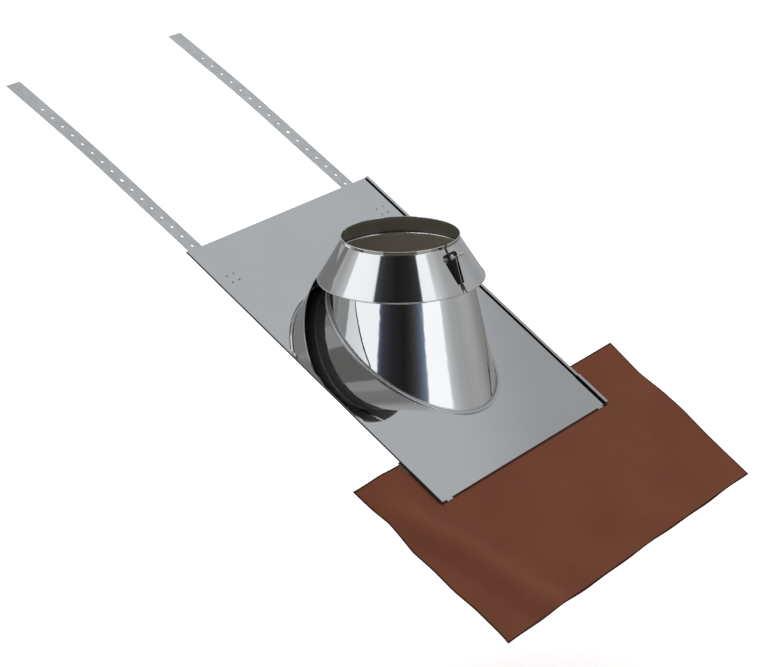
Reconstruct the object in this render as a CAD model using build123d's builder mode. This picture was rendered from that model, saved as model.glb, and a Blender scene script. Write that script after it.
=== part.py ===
from build123d import *
import os
from math import atan2, ceil, cos, hypot, pi, radians, sin, tan

# A flashing for a round flue that comes up through a pitched roof, in millimetres.
# A folded steel plate lies on the roof and carries a slanting cone. A storm collar
# is clamped round the flue and laps over the cone's top. Two perforated straps tie
# the plate's top edge to the roof, and a soft apron leads the water off at its foot.
#
# The flue is upright: +Z runs up it, +Y is level and points into the slope, and +X
# is to the right for someone who looks up the slope. The origin is on the flue's
# axis, halfway up the collar's neck. On the roof itself x is across, y is up the
# slope and z is off the roof, and the plate's underside lies at z = 0.

# Roof and flue
roof_rise = 2.0
roof_run = 3.0
flue_diameter = 200.0

# Stainless sheet, clearances and bends
steel_sheet = 0.8
seat_gap = 0.3
bend_radius = 1.0
collar_plate_gap = 0.4

# Plate: how far it stands out round the cone's foot, and its side welts
plate_side_margin = 115.5
plate_lower_margin = 105.0
plate_upper_margin = 158.0
welt_height = 3.4
welt_return = 8.0

# Cone between the plate and the collar
foot_width = 291.0
foot_length = 347.0
foot_below_axis = 24.5
seam_width = 6.0
seam_height = 3.6
seam_rounding = 2.2
cone_top_below_rim = 31.0
cone_bead_radius = 2.0

# Storm collar
neck_height = 6.0
collar_height = 74.9
collar_foot_radius = 144.0
collar_bend_radius = 2.0
rim_bead_radius = 1.1

# Slit of the collar, the ears that are folded up along it, and the clamp screw
slit_angle = 6.75
slit_width_at_rim = 3.0
slit_width_at_foot = 7.0
ear_start = 9.0
ear_length = 55.0
ear_height = 19.0
ear_tail_height = 5.0
ear_corner_radius = 6.0
screw_diameter = 5.0
screw_hole_clearance = 0.3
screw_down_from_ear_top = 9.0
screw_off_collar = 10.5
screw_length = 27.0
head_diameter = 9.5
head_height = 3.0
head_rounding = 1.8
slot_width = 1.2
slot_depth = 1.3
nut_across_flats = 8.0
nut_height = 4.0

# Straps: distances down and up the slope are from the plate's top edge
strap_width = 35.0
strap_sheet = 1.0
strap_inset = 43.0
strap_under_plate = 102.0
left_strap_reach = 467.2
right_strap_reach = 463.7
strap_let_down_start = 55.0
strap_let_down_end = 5.0
strap_sag_point = 278.0
strap_drop_at_edge = 13.0
strap_drop_at_sag_point = 21.3
strap_drop_at_tip = 35.2
strap_bend_radius = 120.0
strap_sag_radius = 3000.0
strap_hole_pitch = 25.0
strap_hole_diameter = 5.2
strap_first_hole = 76.0
strap_large_hole_diameter = 7.0
left_large_hole = 9
right_large_hole = 10

# Carrier that holds the apron on the plate's lower edge
carrier_length = 97.0
channel_length = 71.0
channel_height = 4.6
channel_return = 8.6
carrier_side_margin = 3.6
tab_width = 15.5
tab_reach = 3.2
tab_inset = 24.0

# Apron: distances are from the plate's sides and its lower edge
apron_sheet = 1.2
apron_left_reach = 128.0
apron_right_reach = 144.0
apron_under_plate = 94.0
apron_reach = 251.5
apron_wave_height = 3.4
apron_inner_wave_share = 0.3
apron_left_wavelength = 215.0
apron_left_crest = -16.0
apron_right_wavelength = 190.0
apron_right_crest = 90.0
apron_point_spacing = 44.0

# Values that follow from the sizes above
pitch = atan2(roof_rise, roof_run)
flue_radius = flue_diameter / 2
neck_top = neck_height / 2
neck_foot = -neck_height / 2
collar_foot = neck_top - collar_height
neck_middle_radius = flue_radius + steel_sheet / 2
foot_middle_radius = collar_foot_radius - rim_bead_radius
skirt_run = foot_middle_radius - neck_middle_radius
skirt_fall = neck_foot - collar_foot
skirt_slope = atan2(skirt_run, skirt_fall)
skirt_length = hypot(skirt_run, skirt_fall)
plate_width = foot_width + 2 * plate_side_margin
plate_below_axis = foot_below_axis + foot_length / 2 + plate_lower_margin
plate_above_axis = foot_length / 2 - foot_below_axis + plate_upper_margin
plate_length = plate_below_axis + plate_above_axis
collar_foot_off_roof = steel_sheet + collar_plate_gap + rim_bead_radius
neck_above_roof = (collar_foot_off_roof + foot_middle_radius * sin(pitch)) / cos(pitch) - collar_foot

roof = Plane(origin=(0, 0, -neck_above_roof), x_dir=(1, 0, 0), z_dir=(0, -sin(pitch), cos(pitch)))
roof_normal = Axis(roof.origin, roof.z_dir)


def across_slope(up_slope, off_roof):
    """The plane of a sheet's folded section at this distance up the slope and off the
    roof: x is across the roof, y is off it, and an extrusion runs down the slope."""
    origin = roof.from_local_coords((0, up_slope, off_roof))
    return Plane(origin=origin, x_dir=roof.x_dir, z_dir=-roof.y_dir)


def along_slope(across, off_roof=0.0):
    """The plane of a sheet's long section at this distance across the roof and off it:
    x is up the slope, y is off the roof, and an extrusion runs to the right."""
    origin = roof.from_local_coords((across, 0, off_roof))
    return Plane(origin=origin, x_dir=roof.y_dir, z_dir=roof.x_dir)


def channel_points(half_width, height, reach):
    """The middle line of a sheet that is folded up at both sides and back over itself:
    half_width and height are to the middle of the sheet."""
    right = [(half_width, 0), (half_width, height), (half_width - reach, height)]
    left = [(-x, y) for x, y in reversed(right)]
    return left + right


def wavy_section(across, top_points, thickness):
    """The long section of a wavy sheet at this distance across the roof, from a smooth
    line through the points of its upper face."""
    with BuildSketch(along_slope(across)) as section:
        with BuildLine():
            upper = Spline(*top_points)
            lower = Spline(*[(x, y - thickness) for x, y in top_points])
            Line(upper @ 0, lower @ 0)
            Line(upper @ 1, lower @ 1)
        make_face()
    return section.sketch


# Base plate: one sheet, with a welt folded up and inwards along each side
with BuildPart() as base_plate:
    with BuildSketch(across_slope(plate_above_axis, steel_sheet / 2)):
        with BuildLine():
            FilletPolyline(
                *channel_points(
                    (plate_width - steel_sheet) / 2,
                    welt_height - steel_sheet,
                    welt_return - steel_sheet / 2,
                ),
                radius=bend_radius,
            )
        trace(line_width=steel_sheet)
    extrude(amount=plate_length)
    with BuildSketch(roof):
        with Locations((0, -foot_below_axis)):
            Ellipse((foot_width - seam_width) / 2, (foot_length - seam_width) / 2)
    extrude(amount=steel_sheet, mode=Mode.SUBTRACT)

# Cone: from an oval foot on the slope to a level round top, with a seam along its
# foot and a bead rolled outwards at its top, which the collar's skirt rests on
cone_bead_height = neck_top - cone_top_below_rim - cone_bead_radius
skirt_radius_there = neck_middle_radius + (neck_foot - cone_bead_height) * tan(skirt_slope)
cone_bead_offset = (steel_sheet / 2 + seat_gap + cone_bead_radius) / cos(skirt_slope)
cone_bead_middle = skirt_radius_there - cone_bead_offset
cone_top_radius = cone_bead_middle - cone_bead_radius + steel_sheet

with BuildPart() as flashing_cone:
    with BuildSketch(roof.offset(steel_sheet)):
        with Locations((0, -foot_below_axis)):
            Ellipse((foot_width + seam_width) / 2, (foot_length + seam_width) / 2)
            Ellipse((foot_width - seam_width) / 2, (foot_length - seam_width) / 2, mode=Mode.SUBTRACT)
    extrude(amount=seam_height)
    seam_top = flashing_cone.faces().sort_by(roof_normal)[-1]
    fillet(seam_top.edges(), radius=seam_rounding)
    with BuildSketch(roof.offset(steel_sheet)):
        with Locations((0, -foot_below_axis)):
            Ellipse((foot_width - seam_width) / 2 + steel_sheet, (foot_length - seam_width) / 2 + steel_sheet)
    with BuildSketch(Plane.XY.offset(cone_bead_height)):
        Circle(cone_top_radius)
    loft()
    with BuildSketch(Plane.XZ):
        with Locations((cone_bead_middle, cone_bead_height)):
            Circle(cone_bead_radius)
    revolve(axis=Axis.Z)
    with BuildSketch(roof.offset(steel_sheet)):
        with Locations((0, -foot_below_axis)):
            Ellipse((foot_width - seam_width) / 2, (foot_length - seam_width) / 2)
    with BuildSketch(Plane.XY.offset(cone_bead_height)):
        Circle(cone_top_radius - steel_sheet)
    loft(mode=Mode.SUBTRACT)
    with BuildSketch(Plane.XY.offset(cone_bead_height)):
        Circle(cone_top_radius - steel_sheet)
    extrude(amount=cone_bead_radius, mode=Mode.SUBTRACT)

# The slit's own plane stands upright on the flue's axis: x runs outwards along the
# slit, y is up, and z points round the collar to the left
slit_out = Vector(-sin(radians(slit_angle)), -cos(radians(slit_angle)), 0)
slit_plane = Plane(origin=(0, 0, 0), x_dir=slit_out, z_dir=slit_out.cross(Vector(0, 0, 1)))
skirt_outside = slit_plane.from_local_coords(
    (neck_middle_radius + steel_sheet / 2 / cos(skirt_slope), neck_foot, 0)
)
skirt_down = slit_out * sin(skirt_slope) + Vector(0, 0, -cos(skirt_slope))
skirt_normal = slit_out * cos(skirt_slope) + Vector(0, 0, sin(skirt_slope))
slit_spread = (slit_width_at_foot - slit_width_at_rim) / 2 / skirt_length
slit_overrun = 15.0
slit_reach = 12.0
ear_root = steel_sheet / 2


def ear_plane(side):
    """The plane of the ear on one side of the slit: x runs down the slit's edge from the
    neck, y stands off the skirt, and side is 1 for the left ear and -1 for the right one."""
    edge_start = skirt_outside + slit_plane.z_dir * (side * slit_width_at_rim / 2)
    edge_down = (skirt_down + slit_plane.z_dir * (side * slit_spread)).normalized()
    return Plane(origin=edge_start, x_dir=edge_down, z_dir=edge_down.cross(skirt_normal))


def slit_half_width(down):
    """Half the slit's width at this distance down the skirt."""
    return slit_width_at_rim / 2 + slit_spread * down


# Storm collar: a short neck round the flue and a conical skirt, slit from rim to foot,
# with its two edges folded up into tapering ears
with BuildPart() as storm_collar:
    with BuildSketch(Plane.XZ):
        with BuildLine():
            FilletPolyline(
                (neck_middle_radius, neck_top),
                (neck_middle_radius, neck_foot),
                (foot_middle_radius, collar_foot),
                radius=collar_bend_radius,
            )
        trace(line_width=steel_sheet)
        with Locations((flue_radius + rim_bead_radius, neck_top), (foot_middle_radius, collar_foot)):
            Circle(rim_bead_radius)
    revolve(axis=Axis.Z)
    with BuildSketch(Plane(origin=skirt_outside, x_dir=skirt_down, z_dir=skirt_normal)):
        Polygon(
            (-slit_overrun, -slit_half_width(-slit_overrun)),
            (skirt_length + slit_overrun, -slit_half_width(skirt_length + slit_overrun)),
            (skirt_length + slit_overrun, slit_half_width(skirt_length + slit_overrun)),
            (-slit_overrun, slit_half_width(-slit_overrun)),
            align=None,
        )
    extrude(amount=slit_reach, both=True, mode=Mode.SUBTRACT)
    for side in (1, -1):
        with BuildSketch(ear_plane(side)):
            with BuildLine():
                FilletPolyline(
                    (ear_start, -ear_root),
                    (ear_start, ear_height),
                    (ear_start + ear_length, ear_tail_height),
                    (ear_start + ear_length, -ear_root),
                    radius=[ear_corner_radius, ear_tail_height / 2],
                )
                Line((ear_start, -ear_root), (ear_start + ear_length, -ear_root))
            make_face()
        turn = -1 if ear_plane(side).z_dir.dot(slit_plane.z_dir) * side < 0 else 1
        extrude(amount=turn * steel_sheet)
    screw_point = (
        skirt_outside
        + skirt_down * (ear_start + screw_down_from_ear_top)
        + skirt_normal * screw_off_collar
    )
    with BuildSketch(Plane(origin=screw_point, x_dir=slit_plane.x_dir, z_dir=slit_plane.z_dir)):
        Circle((screw_diameter + screw_hole_clearance) / 2)
    extrude(amount=slit_reach, both=True, mode=Mode.SUBTRACT)

# Clamp screw through both ears, with its head on the left ear and its nut on the right one
ear_outside = slit_half_width(ear_start + screw_down_from_ear_top) + steel_sheet + seat_gap
head_seat = Plane(
    origin=screw_point + slit_plane.z_dir * ear_outside, x_dir=slit_plane.x_dir, z_dir=slit_plane.z_dir
)
nut_seat = Plane(
    origin=screw_point - slit_plane.z_dir * ear_outside, x_dir=slit_plane.x_dir, z_dir=-slit_plane.z_dir
)

with BuildPart() as clamp_screw:
    with BuildSketch(head_seat):
        Circle(head_diameter / 2)
    extrude(amount=head_height)
    head_top = clamp_screw.faces().sort_by(Axis(head_seat.origin, head_seat.z_dir))[-1]
    fillet(head_top.edges(), radius=head_rounding)
    with BuildSketch(head_seat):
        Circle(screw_diameter / 2)
    extrude(amount=-screw_length)
    with BuildSketch(head_seat.offset(head_height)):
        Rectangle(head_diameter, slot_width)
    extrude(amount=-slot_depth, mode=Mode.SUBTRACT)

with BuildPart() as clamp_nut:
    with BuildSketch(nut_seat):
        RegularPolygon(nut_across_flats / 2, 6, major_radius=False)
        Circle(screw_diameter / 2, mode=Mode.SUBTRACT)
    extrude(amount=nut_height)

# Straps: welded flat under the plate, let down below its top edge by a double bend,
# and sagging a little towards their free ends, with a row of holes all the way
strap_centre = plate_width / 2 - strap_inset
strap_start = plate_above_axis - strap_under_plate
strap_drill_depth = strap_drop_at_tip + 2 * strap_sheet


def strap(centre, reach, large_hole):
    """One strap, with its middle at this distance across the roof and its free end at
    this reach beyond the plate's top edge. The hole with this number, counted from the
    free end, is larger than the others."""
    end = plate_above_axis + reach
    line = [
        (strap_start, 0),
        (plate_above_axis - strap_let_down_start, 0),
        (plate_above_axis - strap_let_down_end, -strap_drop_at_edge),
        (plate_above_axis + strap_sag_point, -strap_drop_at_sag_point),
        (end, -strap_drop_at_tip),
    ]
    hole_count = ceil((end - strap_first_hole - strap_start) / strap_hole_pitch)
    with BuildPart() as strip:
        with BuildSketch(along_slope(centre - strap_width / 2, -strap_sheet / 2)):
            with BuildLine():
                FilletPolyline(*line, radius=[strap_bend_radius, strap_bend_radius, strap_sag_radius])
            trace(line_width=strap_sheet)
        extrude(amount=strap_width)
        for number in range(1, hole_count + 1):
            diameter = strap_large_hole_diameter if number == large_hole else strap_hole_diameter
            place = end - strap_first_hole - (number - 1) * strap_hole_pitch
            with BuildSketch(roof):
                with Locations((centre, place)):
                    Circle(diameter / 2)
            extrude(amount=-strap_drill_depth, mode=Mode.SUBTRACT)
    return strip


left_strap = strap(-strap_centre, left_strap_reach, left_large_hole)
right_strap = strap(strap_centre, right_strap_reach, right_large_hole)

# Apron carrier: a strip under the plate's lower edge, folded into a channel round each
# welt of the plate, with two small tabs that stand out below the edge
carrier_fold_inside = plate_width / 2 + seat_gap
carrier_top = carrier_length - plate_below_axis
tab_centre = plate_width / 2 - tab_inset

with BuildPart() as apron_carrier:
    with BuildSketch(across_slope(channel_length - plate_below_axis, -steel_sheet / 2)):
        with BuildLine():
            FilletPolyline(
                *channel_points(
                    carrier_fold_inside + steel_sheet / 2,
                    channel_height,
                    channel_return - steel_sheet / 2,
                ),
                radius=bend_radius,
            )
        trace(line_width=steel_sheet)
    extrude(amount=channel_length)
    with BuildSketch(roof):
        with Locations((0, carrier_top)):
            Rectangle(
                plate_width + 2 * carrier_side_margin,
                carrier_length - channel_length,
                align=(Align.CENTER, Align.MAX),
            )
        with Locations((-tab_centre, -plate_below_axis), (tab_centre, -plate_below_axis)):
            Rectangle(tab_width, 2 * tab_reach)
    extrude(amount=-steel_sheet)


def apron_section(left_share, right_share, flat_to):
    """The upper face's line along the slope at one place across the apron: shares of the
    waves that run along its left and right edges, flat from its top down to flat_to.
    Distances down are from the plate's lower edge."""
    steps = ceil((apron_reach + apron_under_plate) / apron_point_spacing)
    points = []
    for k in range(steps + 1):
        down = (apron_reach + apron_under_plate) * k / steps - apron_under_plate
        left_wave = cos(2 * pi * (down - apron_left_crest) / apron_left_wavelength)
        right_wave = cos(2 * pi * (down - apron_right_crest) / apron_right_wavelength)
        wave = apron_wave_height * (left_share * left_wave + right_share * right_wave)
        ease = min(1.0, max(0.0, (down - flat_to) / apron_point_spacing))
        points.append((-plate_below_axis - down, wave * ease - steel_sheet - seat_gap))
    return points


# Apron: a soft coated sheet, laid under the carrier, with slow waves along its free edges
apron_held_half = plate_width / 2 + carrier_side_margin
apron_left = plate_width / 2 + apron_left_reach
apron_right = plate_width / 2 + apron_right_reach
apron_free = -apron_under_plate - apron_point_spacing
left_inner_line = apron_section(apron_inner_wave_share, 0.0, tab_reach)
right_inner_line = apron_section(0.0, apron_inner_wave_share, tab_reach)
apron_sections = [
    wavy_section(-apron_left, apron_section(1.0, 0.0, apron_free), apron_sheet),
    wavy_section(-apron_held_half, left_inner_line, apron_sheet),
    wavy_section(apron_held_half, right_inner_line, apron_sheet),
    wavy_section(apron_right, apron_section(0.0, 1.0, apron_free), apron_sheet),
]
with BuildPart() as apron:
    loft(apron_sections, ruled=True)

pieces = {
    "base_plate": base_plate,
    "flashing_cone": flashing_cone,
    "storm_collar": storm_collar,
    "clamp_screw": clamp_screw,
    "clamp_nut": clamp_nut,
    "left_strap": left_strap,
    "right_strap": right_strap,
    "apron_carrier": apron_carrier,
    "apron": apron,
}
os.makedirs("parts", exist_ok=True)
for node, piece in pieces.items():
    piece.part.label = node
    export_step(piece.part, f"parts/{node}.step")
    print(node, round(piece.part.volume), "mm3", piece.part.bounding_box())
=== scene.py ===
# %% [markdown]
# # A roof flashing for a round flue
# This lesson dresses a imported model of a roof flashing: a folded steel plate on a
# slope, a slanting cone, a storm collar with its clamp, two perforated straps and a
# soft brown apron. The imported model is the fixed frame. It is loaded first, and every
# new piece is placed in the same coordinates, in metres.

# %% Load the model
import math

import bmesh
import bpy
import numpy as np
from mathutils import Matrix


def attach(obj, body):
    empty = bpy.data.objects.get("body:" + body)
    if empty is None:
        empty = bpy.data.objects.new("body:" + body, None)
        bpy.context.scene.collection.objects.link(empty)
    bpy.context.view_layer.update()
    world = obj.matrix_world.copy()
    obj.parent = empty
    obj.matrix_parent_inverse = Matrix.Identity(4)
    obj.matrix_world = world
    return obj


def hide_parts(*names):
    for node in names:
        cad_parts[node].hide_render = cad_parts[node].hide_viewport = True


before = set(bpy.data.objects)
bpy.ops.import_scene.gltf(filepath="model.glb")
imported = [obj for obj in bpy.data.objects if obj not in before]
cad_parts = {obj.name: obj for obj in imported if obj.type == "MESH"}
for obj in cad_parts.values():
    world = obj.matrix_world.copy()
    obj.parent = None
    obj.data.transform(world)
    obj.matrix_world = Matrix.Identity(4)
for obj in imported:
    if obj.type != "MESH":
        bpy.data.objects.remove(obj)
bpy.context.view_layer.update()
MM = 0.001
print("nodes:", ", ".join(sorted(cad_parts)))

# %% [markdown]
# ## The roof's own coordinates
# The flue stands upright, and the roof rises 2 in 3 behind it. Most of the pieces lie
# on the slope, so it is easier to give their places as distances across the roof, up
# the slope and off the roof. One small function turns whole arrays of such places into
# the model's frame.

# %% Roof coordinates
PITCH = math.atan2(2.0, 3.0)
NECK_ABOVE_ROOF = 169.93
UP_SLOPE = np.array([0.0, math.cos(PITCH), math.sin(PITCH)])
OFF_ROOF = np.array([0.0, -math.sin(PITCH), math.cos(PITCH)])
ACROSS = np.array([1.0, 0.0, 0.0])


def on_roof(across, up, off):
    """Points in metres: across times the level axis, plus up times the slope's axis,
    plus off times the roof's normal, from the roof plane's point under the neck."""
    across, up, off = np.broadcast_arrays(across, up, off)
    points = across[..., None] * ACROSS + up[..., None] * UP_SLOPE
    points = points + off[..., None] * OFF_ROOF + np.array([0.0, 0.0, -NECK_ABOVE_ROOF])
    return points * MM


print("roof pitch in degrees:", round(math.degrees(PITCH), 2))

# %% [markdown]
# ## The camera
# The photograph was taken from a few metres away with a long lens, from the left of
# the plate and a little above it. The place, the turn and the lens below put the
# plate's corners, the oval foot and the straps where the photograph has them.

# %% Camera
SENSOR_WIDTH = 36.0
CAMERA_REACH = 100.0
CAMERA_PLACE = (-3.38449, -2.39481, 1.31603)
CAMERA_TURN = (70.2183, 1.4448, -54.7942)
CAMERA_LENS = 120.284

camera_data = bpy.data.cameras.new("photo_camera")
camera_data.sensor_fit = "HORIZONTAL"
camera_data.sensor_width = SENSOR_WIDTH
camera_data.lens = CAMERA_LENS
camera_data.clip_end = CAMERA_REACH
camera = bpy.data.objects.new("photo_camera", camera_data)
camera.location = CAMERA_PLACE
camera.rotation_euler = [math.radians(v) for v in CAMERA_TURN]
bpy.context.scene.collection.objects.link(camera)
bpy.context.scene.camera = camera
print("camera at", CAMERA_PLACE, "with a lens of", CAMERA_LENS, "mm")

# %% [markdown]
# ## Helpers for meshes
# A sheet or a turned part is a function on a grid of two parameters. The grid's points
# go into the mesh as one array, and so do its faces, so no loop runs over the vertices.


# %% Mesh helpers
def ring_faces(rows, columns):
    """Four corners for each cell of a grid of points that is stored row by row, where
    every row is a closed ring: its last point is joined to its first."""
    row, column = np.meshgrid(np.arange(rows - 1), np.arange(columns), indexing="ij")
    this_row, next_row = row * columns, (row + 1) * columns
    next_column = (column + 1) % columns
    corners = [this_row + column, this_row + next_column]
    corners += [next_row + next_column, next_row + column]
    return np.stack(corners, axis=-1).reshape(-1, 4)


def new_piece(name, points, faces):
    """An object at the origin whose mesh has these points and four-cornered, smooth
    faces."""
    mesh = bpy.data.meshes.new(name)
    mesh.vertices.add(len(points))
    mesh.vertices.foreach_set("co", np.asarray(points, dtype=np.float32).ravel())
    mesh.loops.add(faces.size)
    mesh.loops.foreach_set("vertex_index", faces.astype(np.int32).ravel())
    mesh.polygons.add(len(faces))
    mesh.polygons.foreach_set("loop_start", np.arange(0, faces.size, 4, dtype=np.int32))
    mesh.polygons.foreach_set("use_smooth", np.full(len(faces), True))
    mesh.update()
    mesh.validate()
    piece = bpy.data.objects.new(name, mesh)
    bpy.context.scene.collection.objects.link(piece)
    print(name, "has", len(points), "points and", len(faces), "faces")
    return piece


# %% [markdown]
# ## The finish of rolled sheet
# Stainless sheet is a mirror with faint faults: smudges that blur it a little, and slow
# dents that bend what it shows. All the steels below need them, so they are one node
# group. It puts out a roughness and a normal, and the shader itself stays in each
# material, with its plain numbers on its own sockets.


# %% Sheet group
# Most of Blender's noise lies in this range, so the whole effect is spread over it
NOISE_LOW, NOISE_HIGH = 0.35, 0.65


def value_socket(group, name, default):
    """Adds an input to the group that takes one number."""
    socket = group.interface.new_socket(name, in_out="INPUT", socket_type="NodeSocketFloat")
    socket.default_value = default


def make_sheet_group():
    """Roughness: noise at the smudge scale, mapped between two values. Normal: a bump
    from slower noise, whose depth is in metres."""
    group = bpy.data.node_groups.new("rolled_sheet", "ShaderNodeTree")
    group.interface.new_socket("Vector", in_out="INPUT", socket_type="NodeSocketVector")
    value_socket(group, "Smudge Scale", 20.0)
    value_socket(group, "Roughness Low", 0.03)
    value_socket(group, "Roughness High", 0.08)
    value_socket(group, "Dent Scale", 6.0)
    value_socket(group, "Dent Depth", 0.0002)
    group.interface.new_socket("Roughness", in_out="OUTPUT", socket_type="NodeSocketFloat")
    group.interface.new_socket("Normal", in_out="OUTPUT", socket_type="NodeSocketVector")
    nodes, links = group.nodes, group.links
    inside = nodes.new("NodeGroupInput")
    outside = nodes.new("NodeGroupOutput")
    smudge = nodes.new("ShaderNodeTexNoise")
    smudge.inputs["Detail"].default_value = 4.0
    spread = nodes.new("ShaderNodeMapRange")
    spread.inputs["From Min"].default_value = NOISE_LOW
    spread.inputs["From Max"].default_value = NOISE_HIGH
    dent = nodes.new("ShaderNodeTexNoise")
    dent.inputs["Detail"].default_value = 1.0
    bump = nodes.new("ShaderNodeBump")
    bump.inputs["Strength"].default_value = 1.0
    links.new(inside.outputs["Vector"], smudge.inputs["Vector"])
    links.new(inside.outputs["Smudge Scale"], smudge.inputs["Scale"])
    links.new(smudge.outputs["Fac"], spread.inputs["Value"])
    links.new(inside.outputs["Roughness Low"], spread.inputs["To Min"])
    links.new(inside.outputs["Roughness High"], spread.inputs["To Max"])
    links.new(spread.outputs["Result"], outside.inputs["Roughness"])
    links.new(inside.outputs["Vector"], dent.inputs["Vector"])
    links.new(inside.outputs["Dent Scale"], dent.inputs["Scale"])
    links.new(dent.outputs["Fac"], bump.inputs["Height"])
    links.new(inside.outputs["Dent Depth"], bump.inputs["Distance"])
    links.new(bump.outputs["Normal"], outside.inputs["Normal"])
    return group


sheet_group = make_sheet_group()
print("group rolled_sheet is ready")

# %% [markdown]
# ## Steel
# The plate, cone, collar and carrier are bright polished sheet, and get their materials
# in the next section. The straps, the screw and the weld marks have a plain finish, so
# the same group gives them a wider blur. A tint that changes slowly over the surface
# keeps each from being one flat colour.


# %% Steel materials
def steel_nodes(name, light, dark, tint_scale, sheet):
    """Starts a metal whose colour drifts between two close tints by noise in object
    space, with roughness and normal from the sheet group; sheet gives the group's
    values. It returns the material, its place node, and its colour and roughness."""
    material = bpy.data.materials.new(name)
    material.use_nodes = True
    nodes, links = material.node_tree.nodes, material.node_tree.links
    shader = nodes["Principled BSDF"]
    shader.inputs["Metallic"].default_value = 1.0
    place = nodes.new("ShaderNodeTexCoord")
    drift = nodes.new("ShaderNodeTexNoise")
    drift.inputs["Scale"].default_value = tint_scale
    drift.inputs["Detail"].default_value = 3.0
    tint = nodes.new("ShaderNodeValToRGB")
    tint.color_ramp.elements[0].position = NOISE_LOW
    tint.color_ramp.elements[0].color = (*dark, 1.0)
    tint.color_ramp.elements[1].position = NOISE_HIGH
    tint.color_ramp.elements[1].color = (*light, 1.0)
    finish = nodes.new("ShaderNodeGroup")
    finish.node_tree = sheet_group
    for socket, value in sheet.items():
        finish.inputs[socket].default_value = value
    links.new(place.outputs["Object"], drift.inputs["Vector"])
    links.new(drift.outputs["Fac"], tint.inputs["Fac"])
    links.new(place.outputs["Object"], finish.inputs["Vector"])
    links.new(finish.outputs["Normal"], shader.inputs["Normal"])
    return material, place, tint.outputs["Color"], finish.outputs["Roughness"]


def finish_steel(material, colour, roughness, metallic=None):
    """Feeds the colour, the roughness and, where it varies, the metallic share to the
    material's shader."""
    links = material.node_tree.links
    shader = material.node_tree.nodes["Principled BSDF"]
    links.new(colour, shader.inputs["Base Color"])
    links.new(roughness, shader.inputs["Roughness"])
    if metallic is not None:
        links.new(metallic, shader.inputs["Metallic"])
    return material


def steel_material(name, light, dark, tint_scale, sheet):
    """A metal with one finish all over."""
    material, _, colour, roughness = steel_nodes(name, light, dark, tint_scale, sheet)
    return finish_steel(material, colour, roughness)


POLISHED = {
    "light": (0.69, 0.70, 0.71),
    "dark": (0.67, 0.68, 0.69),
    "tint_scale": 5.0,
    "sheet": {
        "Smudge Scale": 18.0,
        "Roughness Low": 0.012,
        "Roughness High": 0.030,
        "Dent Scale": 5.0,
        "Dent Depth": 0.00002,
    },
}
strap_steel = steel_material(
    "strap_steel",
    light=(0.80, 0.82, 0.83),
    dark=(0.76, 0.78, 0.79),
    tint_scale=12.0,
    sheet={
        "Smudge Scale": 60.0,
        "Roughness Low": 0.22,
        "Roughness High": 0.34,
        "Dent Scale": 9.0,
        "Dent Depth": 0.0003,
    },
)
screw_steel = steel_material(
    "screw_steel",
    light=(0.80, 0.80, 0.80),
    dark=(0.68, 0.68, 0.69),
    tint_scale=160.0,
    sheet={
        "Smudge Scale": 300.0,
        "Roughness Low": 0.30,
        "Roughness High": 0.42,
        "Dent Scale": 200.0,
        "Dent Depth": 0.00002,
    },
)
weld_steel = steel_material(
    "weld_steel",
    light=(0.52, 0.53, 0.54),
    dark=(0.42, 0.43, 0.44),
    tint_scale=220.0,
    sheet={
        "Smudge Scale": 300.0,
        "Roughness Low": 0.25,
        "Roughness High": 0.45,
        "Dent Scale": 300.0,
        "Dent Depth": 0.00003,
    },
)
print("steel materials: strap, screw, weld")

# %% [markdown]
# ## Dull insides, painted shade and the grey seam
# Only the outer side of the cone and collar is polished. Inside, the sheet is dull and
# brownish, and its colour is darkened further as painted shade, so the opening and the
# gap under the collar stay dark, while the rolled beads keep their shine. The face's own
# normal tells the sides apart: on the inside it points towards the flue's axis. The neck's
# inside gets a darker copy of that painted shade than the cone's, and the inside of the
# collar's skirt is paler and less metallic, as painted light from the plate below it.
# The part of the cone that the collar covers is darker still with painted shade, and a
# black line of painted shadow follows the slit's edges, because the open slit shows too
# thin. The seam round the cone's foot is grey and matt, and it is known by its height off
# the roof. The sides of the folds that face left are dark with painted shade too.


# %% Masks by place
FACES_OUT, FACES_IN = -1.0 / 6.0, -1.0 / 3.0
# Over this many millimetres the edge of a mask fades
MASK_EDGE = 0.3


def ramp_mask(nodes, links, value, zero_at, one_at):
    """Nothing on one side of two limits and one on the other, with a straight run
    between them."""
    mask = nodes.new("ShaderNodeMapRange")
    mask.inputs["From Min"].default_value = min(zero_at, one_at)
    mask.inputs["From Max"].default_value = max(zero_at, one_at)
    mask.inputs["To Min"].default_value = 0.0 if one_at > zero_at else 1.0
    mask.inputs["To Max"].default_value = 1.0 if one_at > zero_at else 0.0
    links.new(value, mask.inputs["Value"])
    return mask.outputs["Result"]


def distance_along(nodes, links, place, direction):
    """The point's distance from the origin along a direction, in metres."""
    along = nodes.new("ShaderNodeVectorMath")
    along.operation = "DOT_PRODUCT"
    along.inputs[1].default_value = tuple(direction)
    links.new(place.outputs["Object"], along.inputs[0])
    return along.outputs["Value"]


def combined(nodes, links, operation, first_mask, second_mask):
    """Two masks joined by one sum: the product keeps what both have, the greater of the
    two keeps what either has, and the difference takes the second from the first."""
    both = nodes.new("ShaderNodeMath")
    both.operation = operation
    links.new(first_mask, both.inputs[0])
    links.new(second_mask, both.inputs[1])
    return both.outputs["Value"]


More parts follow.
